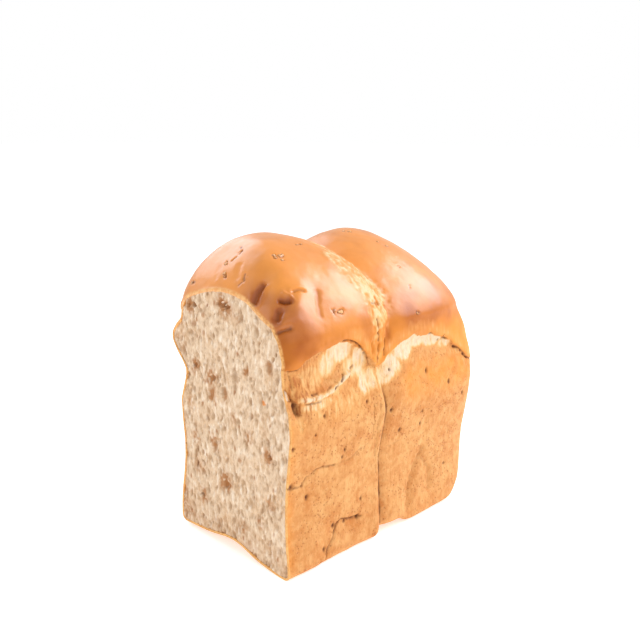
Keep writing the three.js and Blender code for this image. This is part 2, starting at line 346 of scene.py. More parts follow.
sideCracks = [  # (along, up) lines on the wall that faces +X
    {"line": [(0, 119), (3, 115), (6, 111), (8, 105)], "depth": 3.2, "width": 1.7, "dark": 0.62},
    {"line": [(37.5, 113.5), (40.5, 115)], "depth": 1, "width": 0.8, "dark": 0.75},
    {"line": [(43.8, 117), (46.5, 120.5)], "depth": 1.1, "width": 0.8, "dark": 0.8},
    {"line": [(12, 110), (18, 109.6), (26, 109.2)], "depth": 0.7, "width": 0.7, "dark": 0.5},
    {"line": [(18.5, 114.5), (22.5, 114.8)], "depth": 0.6, "width": 0.7, "dark": 0.6},
    {"line": [(30, 114.2), (35, 116)], "depth": 0.6, "width": 0.6, "dark": 0.35},
    {"line": [(52.5, 118.5), (54, 123), (57, 124)], "depth": 0.8, "width": 1.1, "dark": 0.6},
    {"line": [(3, 131), (10, 130.3)], "depth": 1, "width": 0.8, "dark": 0.55},
    {"line": [(11, 131), (15, 135)], "depth": 1, "width": 1.1, "dark": 0.4},
    {"line": [(4, 128), (5, 120)], "depth": 0.8, "width": 0.8, "dark": 0.4},
    {"line": [(45, 142.5), (51, 141.6), (57, 139), (62, 135.5)], "depth": 1.5, "width": 0.8, "dark": 0.85},
    {"line": [(62, 135.5), (66, 131.5), (69, 127), (71, 122)], "depth": 1.1, "width": 0.7, "dark": 0.6},
    {"line": [(76.5, 151), (77, 144), (78.5, 137)], "depth": 0.8, "width": 0.7, "dark": 0.6},
    {"line": [(79, 134), (79.5, 128), (80, 122)], "depth": 1, "width": 0.8, "dark": 0.55},
    {"line": [(85.5, 137), (85.5, 131), (86, 126)], "depth": 0.9, "width": 0.8, "dark": 0.6},
    {"line": [(76, 160.5), (83, 159.5)], "depth": 0.8, "width": 1, "dark": 0.4},
    {"line": [(72, 140), (72.5, 133), (74, 126)], "depth": 0.6, "width": 0.9, "dark": 0.2},
    {"line": [(131, 133), (133.5, 131.5)], "depth": 0.9, "width": 0.8, "dark": 0.6},
    {"line": [(148, 126.5), (151, 125.5)], "depth": 0.9, "width": 0.8, "dark": 0.6},
    {"line": [(162, 117.5), (166, 115.5), (171, 111.5), (176, 107), (184, 103.5)],
     "depth": 1.2, "width": 0.8, "dark": 0.8},
    {"line": [(11, 58.4), (15, 63), (23, 65.9), (29, 66.4), (39, 64.5)], "depth": 0.9, "width": 0.8, "dark": 0.42},
    {"line": [(41, 64), (52, 65), (60, 69), (70, 71)], "depth": 0.4, "width": 0.8, "dark": 0.22},
    {"line": [(-1, 60), (3.6, 59.6), (8, 59), (12, 58.7)], "depth": 0.4, "width": 1, "dark": 0.6},
    {"line": [(30, -2), (31.4, 2.6), (33, 9), (38, 14.5), (41.5, 20.5), (42.5, 23)],
     "depth": 1.4, "width": 0.9, "dark": 0.62},
    {"line": [(42.5, 23), (46, 25), (52.3, 23), (60, 21.8), (65, 20.6)], "depth": 1.2, "width": 0.9, "dark": 0.66},
    {"line": [(128, 50), (126.3, 44), (120, 37), (117, 30), (114.5, 22), (113, 12)],
     "depth": 1.7, "width": 2.4, "dark": 0.2},
    {"line": [(126.3, 44), (132, 40), (136.5, 33), (138, 24), (136.5, 17)], "depth": 1, "width": 1.8, "dark": 0.16},
    {"line": [(80, 40), (77, 52), (76, 66), (77, 80), (79, 95)], "depth": 0.6, "width": 1, "dark": 0.22},
    {"line": [(73, 96), (73.5, 86), (72.5, 74)], "depth": 0.5, "width": 0.8, "dark": 0.25},
    {"line": [(128, 50), (128, 62), (130, 78)], "depth": 0.6, "width": 2, "dark": 0.1},
    {"line": [(80, 58), (92, 61), (104, 63)], "depth": 0.4, "width": 1.2, "dark": 0.2},
]
sidePits = [  # (along, up, radius)
    (2, 85.5, 1.8), (2.6, 60.5, 2.6), (16, 50, 1.8), (64, 33.5, 1.9), (91, 87.5, 1.9), (102, 70.5, 2),
    (127, 107.5, 1.8), (152, 94.5, 2.2), (171, 81.5, 1.9), (155, 31, 1.5), (28, 99.5, 1.4), (67, 99.5, 1.6),
    (50, 22.5, 1.6), (39, 23, 2), (62, 21.5, 2), (30, 10.5, 1.9), (20, 89.5, 1.1), (47, 72.5, 1.6),
    (45, 68, 1.2), (90, 115, 1.2), (124, 79, 1.5), (123, 70, 1.6),
]
leftCracks = [  # (along, up)
    {"line": [(18, 34), (30, 37), (44, 35), (56, 38)], "depth": 0.9, "width": 0.8, "dark": 0.4},
    {"line": [(112, 78), (117, 66), (116, 52), (121, 40)], "depth": 1.1, "width": 1.1, "dark": 0.35},
    {"line": [(140, 118), (150, 115), (160, 108)], "depth": 1, "width": 0.8, "dark": 0.6},
    {"line": [(28, 154), (40, 156), (50, 154)], "depth": 0.9, "width": 0.8, "dark": 0.5},
]
endCracks = [  # (across, up) on the far end
    {"line": [(-36, 26), (-20, 31), (-4, 29), (8, 33)], "depth": 0.9, "width": 0.8, "dark": 0.4},
    {"line": [(24, 88), (30, 76), (29, 62)], "depth": 1, "width": 1, "dark": 0.35},
]
hiddenPits = {"seed": 8, "count": 15, "radius": (1.1, 2)}  # on each of the left wall and the far end
pitLook = {"depth": 1.1, "tall": 1.35, "core": 0.85}
lowerStep = {"edge": [(31, 2.5), (34, 10), (42, 20), (46, 25), (63, 21.5), (80, 18)], "depth": 0.6}
topCreases = [  # (across, along, up) lines where the dome is puckered or marked by the cut
    {"line": [(26, 8.7, 176.3), (25.6, 5.5, 172.5), (26.5, 1.5, 168)], "height": -2.2, "width": 2.2, "dark": 0.38},
    {"line": [(29, 9, 175.5), (30, 5, 171), (30.5, 0, 166)], "height": 1.3, "width": 1.6, "dark": 0},
    {"line": [(39.1, 13, 173.6), (42.2, 15, 171.8), (44.5, 14.8, 169.8)], "height": 1.3, "width": 1.2, "dark": 0},
    {"line": [(40.3, 9.6, 169.5), (42, 11.2, 168.9), (43.7, 13, 169.4)], "height": -2.7, "width": 1.9, "dark": 0.5},
    {"line": [(42, 6.5, 163.4), (44.1, 3.1, 160.5)], "height": -2, "width": 2.2, "dark": 0.42},
    {"line": [(46, 9, 161.5), (47.5, 5, 158), (48.5, 0, 155.5)], "height": 1.1, "width": 1.8, "dark": 0},
    {"line": [(47, -1, 152.6), (48, 2.6, 153.6), (51.2, 7.4, 155.2)], "height": -1.6, "width": 1.3, "dark": 0.6},
    {"line": [(42.1, 18.2, 174.5), (43, 21.4, 175.4), (44.6, 24.7, 174.6)],
     "height": -1.4, "width": 1.2, "dark": 0.4},
    {"line": [(41, 17.5, 177), (42.5, 21.5, 177.6)], "height": 0.5, "width": 2.2, "dark": 0},
    {"line": [(44.4, 34.8, 172), (49.1, 31, 165.4), (52.6, 30.1, 159.5)],
     "height": -0.55, "width": 1.9, "dark": 0.16},
    {"line": [(-36.6, 3.8, 170.6), (-36, 4.6, 171.2)], "height": -0.5, "width": 0.9, "dark": 0.95},
    {"line": [(-4.2, 18.5, 193.4), (-3.4, 15.5, 191.2)], "height": -0.7, "width": 0.8, "dark": 0.6},
    {"line": [(-4.2, 13.5, 189.6), (-5.8, 11, 187.1)], "height": -0.7, "width": 0.8, "dark": 0.5},
    {"line": [(-4, 4.8, 180.1), (-3, 3.6, 178.4)], "height": -0.7, "width": 0.9, "dark": 0.55},
    {"line": [(11.6, 6.8, 181.9), (12, 5, 179.4)], "height": -0.8, "width": 0.9, "dark": 0.6},
    {"line": [(12, 3.8, 177.6), (10.5, 2.4, 175.6)], "height": -0.6, "width": 0.8, "dark": 0.5},
    {"line": [(4, 9, 185.5), (7, 4, 180)], "height": -0.6, "width": 2.4, "dark": 0},
    {"line": [(-14, 7, 184.5), (-12, 2, 178)], "height": -0.6, "width": 2.2, "dark": 0},
]
# painted shade along the creases: how broad a crease must be to brown the glaze, and how far that shade spreads
creaseLook = {"broad": 1.5, "broadCore": 0.7, "thinCore": 0.85, "creaseShade": 1.9, "creaseShadeWidth": 1.3}
grainSpots = [  # (across, along, up, radius): bits of grain under the glaze
    (-6, 18, 193, 1.9), (-9, 10, 186.5, 1.6), (-5, 5, 179.5, 1.4), (12, 5, 179.5, 1.6), (-35, 3, 171.5, 1.7),
    (20, 25, 192, 2.4), (54.5, 44, 158.5, 2.5), (57.6, 116, 149, 1.2), (56, 132, 131.5, 1.6), (56, 147, 126.5, 1.8),
    (10, 130, 190.5, 1.5), (14, 132, 188, 1.4), (13, 50, 196, 1.5), (46, 120, 164.4, 1.2), (-28, 30, 190, 1.8),
    (-38, 60, 176, 1.7), (-12, 118, 196, 1.8), (-35, 140, 182, 1.6), (6, 158, 176, 1.7), (-20, 172, 158, 1.8),
    (30, 160, 160, 1.6), (34, 123, 176, 1.2),
]
grainLook = {"seed": 5, "spread": 0.95, "height": 0.55, "moat": 0.5}
unevenness = ((0.5, 24, 1), (0.22, 9, 2), (0.07, 3.2, 7))  # height and width in mm, and seed


class Skin:  # where each point lies and faces, and the noise that the marks share
    def __init__(self, mesh, front):
        self.front = front
        self.points = readPoints(mesh)
        across, along, up = toLoaf(self.points).T
        self.shift = (levelAt(seamLine, up) - seamAlong) * (1 - ramp(up, 125, 150))  # the seam wanders
        onRight = bump(along - seamAlong, seamLook["reach"]) * ramp(across, 5, 35)
        self.points[:, 1] += self.shift * onRight * mm
        writePoints(mesh, self.points)
        self.place = toLoaf(self.points)
        self.across, self.along, self.up = self.place.T
        self.normals = readNormals(mesh)
        self.right = ramp(self.normals[:, 0], 0.2, 0.5)
        self.left = ramp(-self.normals[:, 0], 0.2, 0.5)
        self.top = ramp(self.normals[:, 2], 0.1, 0.4)
        self.end = ramp(self.normals[:, 1], 0.4, 0.7) * (self.along > 120)
        flat = self.place * [0, 1, 1]
        self.coarse = softNoise(flat, (1, 6, 6), 3)
        self.fine = softNoise(flat, (1, 2, 2.4), 4)
        flat[:, 1] += 1.6 * self.coarse + 0.6 * self.fine  # the strands waver
        flat[:, 1] += 0.12 * self.up  # and lean
        strand = softNoise(flat, (1, 2.9, 16), 5) * 0.5 + softNoise(flat, (1, 1.3, 7), 6) * 0.4
        self.strand = strand + 0.25 * softNoise(flat, (1, 0.8, 3.5), 14)


def bandShare(skin, bands, facing):  # 1 inside a torn band, and how far below its lip
    along, up = skin.along, skin.up
    share = np.zeros(len(up))
    below = np.full(len(up), -1e3)
    for band in bands:
        first, last = band["lip"][0][0], band["lip"][-1][0]
        lip = levelAt(band["lip"], along) + 1.3 * skin.coarse + 0.7 * skin.fine
        sill = levelAt(band["sill"], along) + 3.5 * skin.strand + 2.5 * skin.coarse
        within = ramp(along, first - 2, first + 2) * (1 - ramp(along, last - 2, last + 3))
        inside = ramp(lip - up, -0.4, 0.9) * ramp(up - sill, -6, 5) * within * facing
        share = np.maximum(share, inside)
        below = np.where(within * facing > 0.5, np.maximum(below, np.minimum(lip - up, 900)), below)
    return share, below


def tornShare(along, up):  # how pale the right bands' torn dough is, from 0 to 1
    share = np.zeros(len(along))
    for atAlong, atUp, reachAlong, reachUp, strength in tornSpots:
        gap = np.hypot((along - atAlong) / reachAlong, (up - atUp) / reachUp)
        share = np.maximum(share, strength * (1 - ramp(gap, 0.5, 1.3)))
    return share


def valleyStrip(skin):  # 1 in the torn strip between the domes
    half = levelAt(valley["halfWidth"], skin.up)
    half = half + 2.5 * softNoise(skin.place, 7, 17) + 1.5 * softNoise(skin.place, 3, 18)
    strip = 1 - ramp(np.abs(skin.along - levelAt(valley["middle"], skin.up)) - half, -7, 4)
    outside = np.maximum(np.maximum(skin.right, skin.top), skin.left)
    return strip * ramp(skin.up, 103, 116) * outside * (1 - 0.3 * ramp(skin.up, 170, 186))


def cutCracks(skin, lift, crack):  # lift is the relief in mm, the last mask the painted shade in each mark
    sides = ((sideCracks, skin.right, skin.along), (leftCracks, skin.left, skin.along),
             (endCracks, skin.end, skin.across))
    for lines, facing, run in sides:
        facePlace = np.column_stack([run + 0.5 * skin.fine, skin.up + 0.5 * skin.coarse])
        for line in lines:
            width = line["width"] * (1 + 0.4 * skin.coarse + 0.2 * skin.fine)
            cut = bump(gapToLine(facePlace, line["line"]), np.maximum(width, 0.4)) * facing
            lift -= line["depth"] * cut
            np.maximum(crack, cut * line["dark"] * (1 + 0.5 * skin.fine), out=crack)


def cutPits(skin, lift, crack):
    rng = np.random.default_rng(hiddenPits["seed"])
    pits = [(*spot, skin.right, skin.along) for spot in sidePits]
    for _ in range(hiddenPits["count"]):
        radius = rng.uniform(*hiddenPits["radius"])
        pits.append((rng.uniform(5, 180), rng.uniform(12, 100), radius, skin.left, skin.along))
        pits.append((rng.uniform(-45, 45), rng.uniform(14, 100), radius * 0.9, skin.end, skin.across))
    for atRun, atUp, radius, facing, run in pits:
        gap = np.hypot((run - atRun) * pitLook["tall"], skin.up - atUp) * (1 + 0.3 * skin.fine)
        pit = bump(gap, radius * pitLook["core"]) * facing
        lift -= pitLook["depth"] * pit
        # painted shade darkens each pit
        np.maximum(crack, pit, out=crack)


def cutSeam(skin, lift, crack):  # a fine groove on the walls, darkened with painted shade where the front lobe laps over
    offSeam = skin.along - seamAlong - skin.shift * skin.right
    onWall = np.maximum(skin.right, skin.left) * (1 - ramp(skin.up, 100, 112))
    if skin.front:
        lift += onWall * (seamLook["lap"] * bump(offSeam + 3, seamLook["width"]))
    else:
        lift += onWall * (-seamLook["dip"] * bump(offSeam, seamLook["width"]))
    # painted shade along the seam
    seamShade = 0.75 * bump(offSeam - 2.6, 1) + 0.3 * bump(offSeam - 0.8, 0.9)
    np.maximum(crack, seamShade * onWall * (1 + 0.6 * skin.coarse), out=crack)


def puckerDome(skin, lift, crack):  # painted shade along the creases, browner where they are broad and dark where they are thin
    creaseShade = np.zeros(len(lift))
    wobble = 1 + 0.25 * softNoise(skin.place, 2.5, 16)
    for crease in topCreases:
        gap = gapToLine(skin.place, crease["line"]) * wobble
        lift += crease["height"] * bump(gap, crease["width"])
        broad = crease["width"] > creaseLook["broad"]
        if broad:
            darkened = bump(gap, creaseLook["creaseShadeWidth"] * crease["width"])
            np.maximum(creaseShade, creaseLook["creaseShade"] * crease["dark"] * darkened, out=creaseShade)
        core = creaseLook["broadCore" if broad else "thinCore"] * crease["width"]
        np.maximum(crack, crease["dark"] * bump(gap, core), out=crack)
    return creaseShade


def grainFlecks(skin):  # 1 on the bits of grain under the glaze
    fleck = np.zeros(len(skin.up))
    wobble = 1 + 0.5 * softNoise(skin.place, 1.3, 9)
    rng = np.random.default_rng(grainLook["seed"])
    for *spot, radius in grainSpots:
        for _ in range(int(2 + 2 * radius)):
            centre = np.array(spot) + rng.normal(0, grainLook["spread"] * radius, 3) * [1, 1, 0.8]
            gap = np.linalg.norm(skin.place - centre, axis=1) * wobble
            fleck = np.maximum(fleck, bump(gap, radius * rng.uniform(0.35, 0.65)))
    return fleck


brownAndShadeLook = {  # how browned the glaze is, from 0 to 1, with painted shade below the domes' tops and in the front pucker
    "ring": 0.36,  # browner all round below the domes' tops: partly the glaze's colour, partly painted shade where no highlight falls
    "clouds": 0.16,
    "blots": 0.06,
    "frontCorner": 0.62,
    "frontPuckerShade": 0.55,
    "frontEdge": 0.3,
    "besideValley": 0.6,
    "rearRight": 0.42,
}


def brownAndShadeShare(skin):
    across, along, up = skin.across, skin.along, skin.up
    brownAndShade = brownAndShadeLook["ring"] * bump(up - 148, 20)
    brownAndShade += brownAndShadeLook["clouds"] * softNoise(skin.place, 11, 12)
    brownAndShade += brownAndShadeLook["blots"] * softNoise(skin.place, 5, 13)
    if skin.front:
        brownAndShade += brownAndShadeLook["frontCorner"] * (1 - ramp(along, 8, 36)) * bump(up - 144, 18) * ramp(across, 10, 40)
        # painted shade in the front pucker
        brownAndShade += brownAndShadeLook["frontPuckerShade"] * bump(along - 4, 7) * bump(up - 171, 9) * bump(across - 27, 14)
        brownAndShade += brownAndShadeLook["frontEdge"] * bump(along - 12, 10) * bump(up - 166, 9) * ramp(across, 30, 42)
    spot = np.hypot((along - 88.5) / 3.6, (up - 137) / 9)
    brownAndShade += brownAndShadeLook["besideValley"] * bump(spot, 1) * skin.right
    if not skin.front:
        brownAndShade += brownAndShadeLook["rearRight"] * bump(along - 125, 34) * bump(up - 148, 13) * skin.right
    return np.where(up > 138, brownAndShade, brownAndShade * ramp(up, 112, 128))


def shapeCrust(obj, front):
    mesh = obj.data
    skin = Skin(mesh, front)
    along, up, right, left = skin.along, skin.up, skin.right, skin.left
    rightBand, rightBelow = bandShare(skin, rightBands, right)
    leftBand, leftBelow = bandShare(skin, leftBands, left)
    band = np.maximum(rightBand, leftBand)
    below = np.maximum(rightBelow, leftBelow)
    strip = valleyStrip(skin)

    lift = sum(height * softNoise(skin.place, width, seed) for height, width, seed in unevenness)

    # the glossy cap swells over the torn band, and the band and the valley are shredded
    lift += bandLook["lipSwell"] * bump(below + 2, 3) * np.maximum(right, left) * (up > 100)
    lift -= bandLook["depth"] * band * bump(below - 1.5, 5)
    lift += bandLook["shreds"] * band * skin.strand
    blotch = softNoise(skin.place, (2.2, 2.6, 1.8), 8)
    clumps = 0.6 * softNoise(skin.place, 4.6, 19) + 0.5 * softNoise(skin.place, 2.3, 20)
    ribs = softNoise(skin.place, (2.4, 7, 2.4), 15)
    lift += strip * (0.4 * blotch + 0.2 * ribs + 0.5 * clumps - 0.2)

    sidePlace = skin.place[:, 1:] + np.column_stack([skin.fine, skin.coarse]) * 0.5
    ledge = bump(gapToLine(sidePlace, foldedLedge["line"]), foldedLedge["width"]) * right
    lift += foldedLedge["height"] * ledge

    # painted shade in the cracks, pits, seam and creases
    crack = np.zeros(len(up))
    cutCracks(skin, lift, crack)
    cutPits(skin, lift, crack)
    cutSeam(skin, lift, crack)

    # the wall steps in below the lower crack
    step = ramp(levelAt(lowerStep["edge"], along) - up, -0.5, 1.5)
    step = step * ramp(along, 26, 29) * (1 - ramp(along, 52, 84))
    lift -= lowerStep["depth"] * step * right

    creaseShade = puckerDome(skin, lift, crack)
    fleck = grainFlecks(skin)
    lift += grainLook["height"] * ramp(fleck, 0.3, 0.8) - grainLook["moat"] * bump(fleck - 0.25, 0.12)

    # nothing moves on the cut, and the foot stays on the table
    lift *= ramp(along, 0, 1) if front else 1
    lift = np.where(up < 1.5, np.minimum(lift, 0), lift)
    points = skin.points + skin.normals * (lift * mm)[:, None]
    points[:, 2] = np.maximum(points[:, 2], 0)
    if front:
        points[along < 0.01, 1] = cutY
    writePoints(mesh, points)

    # masks for the material
    tear = np.where(right > left, tornShare(along, up), 0.5 + 0.3 * softNoise(skin.place, 11, 22))
    frayed = 0.34 * right * bump(up - 103, 11) * (1 - band) * (1 - ramp(along, 84, 92)) * (1 + skin.strand)
    ledgePale = ledge * (0.85 + 0.2 * skin.fine) * ramp(along, 5, 11)
    stripPale = strip * (0.55 + 0.75 * clumps + 0.3 * blotch) * (0.42 + 0.58 * ramp(up, 142, 158))
    lipTan = 0.24 * right * bump(below + 5, 5.5) * ramp(along, 38, 52) * (1 + 0.5 * skin.strand)
    cap = np.where(below > -999, ramp(-below, -1, 2), ramp(up, 112, 135))
    warm = 0.5 * bump(up - 103, 12) * ramp(along, 92, 112) + 0.3 * bump(along, 5) * (up < 100) * front
    gloss = (0.12 + 0.88 * ramp(up, 140, 168)) * (1 - 0.85 * np.clip(creaseShade, 0, 1))
    # the browning mask also takes the creases' painted shade
    keepMask(mesh, "brownAndShade", brownAndShadeShare(skin) + creaseShade)
    keepMask(mesh, "fibre", band * right * bump(along - 12, 13) * front)
    keepMask(mesh, "pale", np.maximum.reduce([band * tear + frayed, ledgePale, stripPale, lipTan]))
    keepMask(mesh, "yellow", 0.6 * strip + 0.6 * band * bump(along - 33, 15) * bump(up - 122, 9) - ledgePale)
    keepMask(mesh, "crack", crack)
    keepMask(mesh, "fleck", fleck)
    keepMask(mesh, "cap", np.maximum(cap, warm * right * (1 + 0.6 * skin.coarse)))
    keepMask(mesh, "glaze", cap * (1 - 0.8 * strip) * gloss)
    keepMask(mesh, "rim", (1 - ramp(along, 0.1, 1)) * front)


frontLobe = startLobe("frontLobe", True)
rearLobe = startLobe("rearLobe", False)
print("lobes grown")


def openRim(obj):  # leaves a rim of crust round the cut, and gives back the face for the crumb
    pickFaces(obj, onCut)
    bpy.ops.mesh.inset(thickness=lobe["rim"] - lobe["rimHidden"], use_even_offset=False)
    bpy.ops.mesh.duplicate()
    bpy.ops.mesh.separate(type="SELECTED")
    bpy.ops.object.mode_set(mode="OBJECT")
    crumb = next(other for other in bpy.context.selected_objects if other != obj)
    crumb.name = crumb.data.name = "crumb"
    widest = max(filter(onCut, obj.data.polygons), key=lambda face: face.area).index
    pickFaces(obj, lambda face: face.index == widest)
    bpy.ops.mesh.inset(thickness=lobe["rimHidden"], use_even_offset=False)
    bpy.ops.mesh.extrude_region_move(TRANSFORM_OT_translate={"value": (0, lobe["recess"], 0)})
    bpy.ops.object.mode_set(mode="OBJECT")
    return crumb


crumb = openRim(frontLobe)
shapeCrust(frontLobe, True)
shapeCrust(rearLobe, False)
for obj in (frontLobe, rearLobe):
    triangles = sum(len(face.vertices) - 2 for face in obj.data.polygons)
    applyModifier(obj, "DECIMATE", ratio=min(1, lobe["mostTriangles"] / triangles))
    selectOnly(obj)
    bpy.ops.object.shade_smooth_by_angle(angle=math.radians(lobe["sharpAngle"]))
    print(obj.name, len(obj.data.polygons), "faces")


# crumb: the open inside on the cut

crumbLook = {
    "grid": 0.6 * mm,
    "thickness": 3.4 * mm,
    "backTrim": 0.9 * mm,
    "mapSize": (128, 210),  # mm
    "mapCell": 0.4,
    "middle": 64,  # of the map, across
    "across": (-62, 62),  # mm, where pores are drawn
    "up": (0, 205),
    "pores": 2300,
    "cells": 330,  # the wider ones
    "seed": 21,
    "inset": 0.25,  # mm that the crumb lies below the cut crust
    "fibre": 0.22,  # height of the fine threads in mm
    "sag": 0.3,  # height of the wide waves in mm
    "nearLeft": 0.22,  # how much browner it is by the left crust
    "nearFoot": 0.16,
    "sharpAngle": 60,
}
hollows = [  # (across, up, half width, half height, depth, lean): the larger holes
    (-4.5, 162.8, 4.2, 1.5, 2.4, 0.35), (-1.2, 161.8, 3.6, 1.1, 2.2, 0.35), (2, 160.6, 3.4, 1.2, 2.2, 0.35),
    (-32, 117.5, 2.6, 1.7, 2, 0.3),
    (-14, 112.5, 3.4, 2.2, 1.8, 0), (-2, 44.5, 2.4, 3.9, 1.9, 0), (40, 75.5, 2, 2, 2, 0.5),
    (-33, 48.5, 0.9, 3.4, 2, 0), (-27, 28.5, 3, 1.4, 1.8, 0.2), (-31, 157.5, 3, 1.4, 2, -0.4),
    (-37, 156.5, 1.8, 1.6, 2, 0), (-2, 105.5, 3, 5, 0.8, 0), (40, 132, 3, 4.2, 1.3, 0), (8, 119, 3, 5, 1.1, 0),
    (-3, 106, 3, 4, 1.3, 0), (15, 156, 3, 3.4, 1.2, 0), (-15, 104, 2.6, 4.5, 1.1, 0), (29, 151, 2.2, 4.5, 1.1, 0.3),
    (-25, 155, 3, 2.2, 1.1, 0), (-12, 69, 2, 5.5, 1.2, 0), (22, 40, 3, 4, 1.0, 0), (-35, 139, 3, 2.6, 1.1, 0),
    (44, 40, 2, 4.5, 1.0, 0), (-20, 34, 2.6, 2.4, 1.1, 0), (11, 90, 3, 2.4, 1.0, 0), (-14, 88, 2.4, 2.8, 1.0, 0),
    (-32, 60, 1.4, 4.5, 1.3, 0), (33, 109, 1.8, 6, 1.0, 0), (2, 30, 1.6, 4, 1.1, 0), (51, 111, 1.6, 4.5, 1.1, 0),
    (-34, 101, 2, 3, 1.1, 0), (-1, 133, 2.4, 3, 1.0, 0),
]
crumbBits = [  # (across, up, radius, strength) of brown surrounds and bits of grain
    (-3, 46, 5.5, 0.8), (-15, 112, 5.5, 0.75), (-15, 102, 4.5, 0.5), (39.5, 76, 4, 0.7), (-32, 117, 4.5, 0.6),
    (2, 159.5, 5, 0.6), (-4, 163, 5, 0.7), (-30, 48, 5, 0.4), (-26, 29, 5, 0.5), (-36, 157, 4.5, 0.7),
    (-2, 103, 4, 0.4), (20.6, 82, 4, 0.5), (19.2, 124, 2.6, 0.6), (-33, 68, 4.5, 0.4), (-13, 70, 5, 0.45),
    (40.4, 131, 4, 0.35), (12, 156, 4, 0.35), (41, 45, 4, 0.4), (15, 21, 5, 0.4), (7, 92, 3.5, 0.4),
    (-38, 90, 4, 0.4), (30, 28, 4, 0.35),
]
orangeBit = (35.2, 108.5, 2.3)  # (across, up, radius)


def drawPores():  # (across, up, half width, half height, depth, lean)
    rng = np.random.default_rng(crumbLook["seed"])
    across, up = crumbLook["across"], crumbLook["up"]
    pores = []
    for _ in range(crumbLook["pores"]):
        size = 0.4 + 1.3 * rng.random() ** 3.6  # most are small
        pores.append((rng.uniform(*across), rng.uniform(*up), size * rng.uniform(0.6, 0.9),
                      size * rng.uniform(1.2, 2.6), 0.3 + 0.5 * size, rng.normal(0.08, 0.2)))
    for _ in range(crumbLook["cells"]):
        size = rng.uniform(0.9, 1.9)
        pores.append((rng.uniform(*across), rng.uniform(*up), size * rng.uniform(0.7, 1),
                      size * rng.uniform(1.1, 2.3), rng.uniform(0.5, 1.25), rng.normal(0.05, 0.25)))
    return pores + hollows


def crumbMap():  # depth in mm over the cut face, rows going up
    cell, middle = crumbLook["mapCell"], crumbLook["middle"]
    wide, tall = (int(size / cell) for size in crumbLook["mapSize"])
    depth = np.zeros((tall, wide))
    for across, up, halfWidth, halfHeight, deep, lean in drawPores():
        reach = int(max(halfWidth, halfHeight) * 1.2 / cell) + 2
        row, column = int(up / cell), int((across + middle) / cell)
        low, high = max(row - reach, 0), min(row + reach, tall)
        start, end = max(column - reach, 0), min(column + reach, wide)
        if low >= high or start >= end:
            continue
        rise = (np.arange(low, high) * cell - up)[:, None]
        run = (np.arange(start, end) * cell - middle - across)[None, :]
        bowl = 1 - ((run * math.cos(lean) + rise * math.sin(lean)) / halfWidth) ** 2
        bowl = bowl - ((rise * math.cos(lean) - run * math.sin(lean)) / halfHeight) ** 2
        window = depth[low:high, start:end]
        np.maximum(window, deep * np.sqrt(np.clip(bowl, 0, 1)), out=window)
    return depth


def readMap(depth, across, up):  # evened out between its cells
    cell = crumbLook["mapCell"]
    column = np.clip((across + crumbLook["middle"]) / cell, 0, depth.shape[1] - 1.01)
    row = np.clip(up / cell, 0, depth.shape[0] - 1.01)
    left, low = column.astype(int), row.astype(int)
    column, row = column - left, row - low
    deep = (depth[low, left] * (1 - column) + depth[low, left + 1] * column) * (1 - row)
    deep += (depth[low + 1, left] * (1 - column) + depth[low + 1, left + 1] * column) * row
    return deep


def shapeCrumb(obj):
    editAll(obj)
    bpy.ops.mesh.extrude_region_move(TRANSFORM_OT_translate={"value": (0, crumbLook["thickness"], 0)})
    bpy.ops.mesh.select_all(action="SELECT")
    bpy.ops.mesh.normals_make_consistent(inside=False)
    bpy.ops.object.mode_set(mode="OBJECT")
    applyModifier(obj, "REMESH", mode="VOXEL", voxel_size=crumbLook["grid"])
    applyModifier(obj, "SMOOTH", factor=0.5, iterations=3)
    trimEnd(obj, crumbLook["thickness"] - crumbLook["backTrim"], 1)
    mesh = obj.data
    points = readPoints(mesh)
    place = toLoaf(points)
    faceOn = ramp(-readNormals(mesh)[:, 1], 0.5, 0.9)
    across, _, up = place.T
    sideways, upwards = (softNoise(place, 2.2, seed) * 0.7 for seed in (31, 32))
    deep = readMap(crumbMap(), across + sideways, up + upwards)
    flat = place * [1, 0, 1]
    fibre = softNoise(flat, (1.4, 1, 2.2), 33) * 0.6 + softNoise(flat, (0.9, 1, 1), 34) * 0.4
    sag = softNoise(flat, (12, 1, 16), 35)
    sink = crumbLook["inset"] + deep - crumbLook["fibre"] * fibre + crumbLook["sag"] * sag
    points[:, 1] += sink * faceOn * mm
    points[:, 1] = np.maximum(points[:, 1], cutY)
    writePoints(mesh, points)

    # masks for the material
    ragged = softNoise(flat, (2.2, 1, 2.6), 36) * 0.6 + softNoise(flat, (1.1, 1, 1.2), 37) * 0.5
    stain = np.zeros(len(place))
    for atAcross, atUp, radius, strength in crumbBits:
        gap = np.hypot(across - atAcross, (up - atUp) * 0.8)
        stain = np.maximum(stain, strength * bump(gap, radius))
    nearCrust = crumbLook["nearLeft"] * (1 - ramp(across, -50, -33))
    nearCrust = nearCrust + crumbLook["nearFoot"] * (1 - ramp(up, 8, 36))
    atAcross, atUp, radius = orangeBit
    gap = np.hypot(across - atAcross, up - atUp)
    keepMask(mesh, "deep", deep / 2)
    keepMask(mesh, "stain", np.maximum(stain, nearCrust) * (0.75 + 1.1 * ragged))
    keepMask(mesh, "orange", 1 - ramp(gap * (1 + 0.4 * ragged), 0.6 * radius, radius))
    selectOnly(obj)
    bpy.ops.object.shade_smooth_by_angle(angle=math.radians(crumbLook["sharpAngle"]))
    print(obj.name, len(mesh.polygons), "faces")


shapeCrumb(crumb)


# materials

def colour(red, green, blue):  # from the 0 to 255 values that a screen shows
    def linear(value):
        value /= 255
        return value / 12.92 if value <= 0.04045 else ((value + 0.055) / 1.055) ** 2.4
    return (linear(red), linear(green), linear(blue), 1)


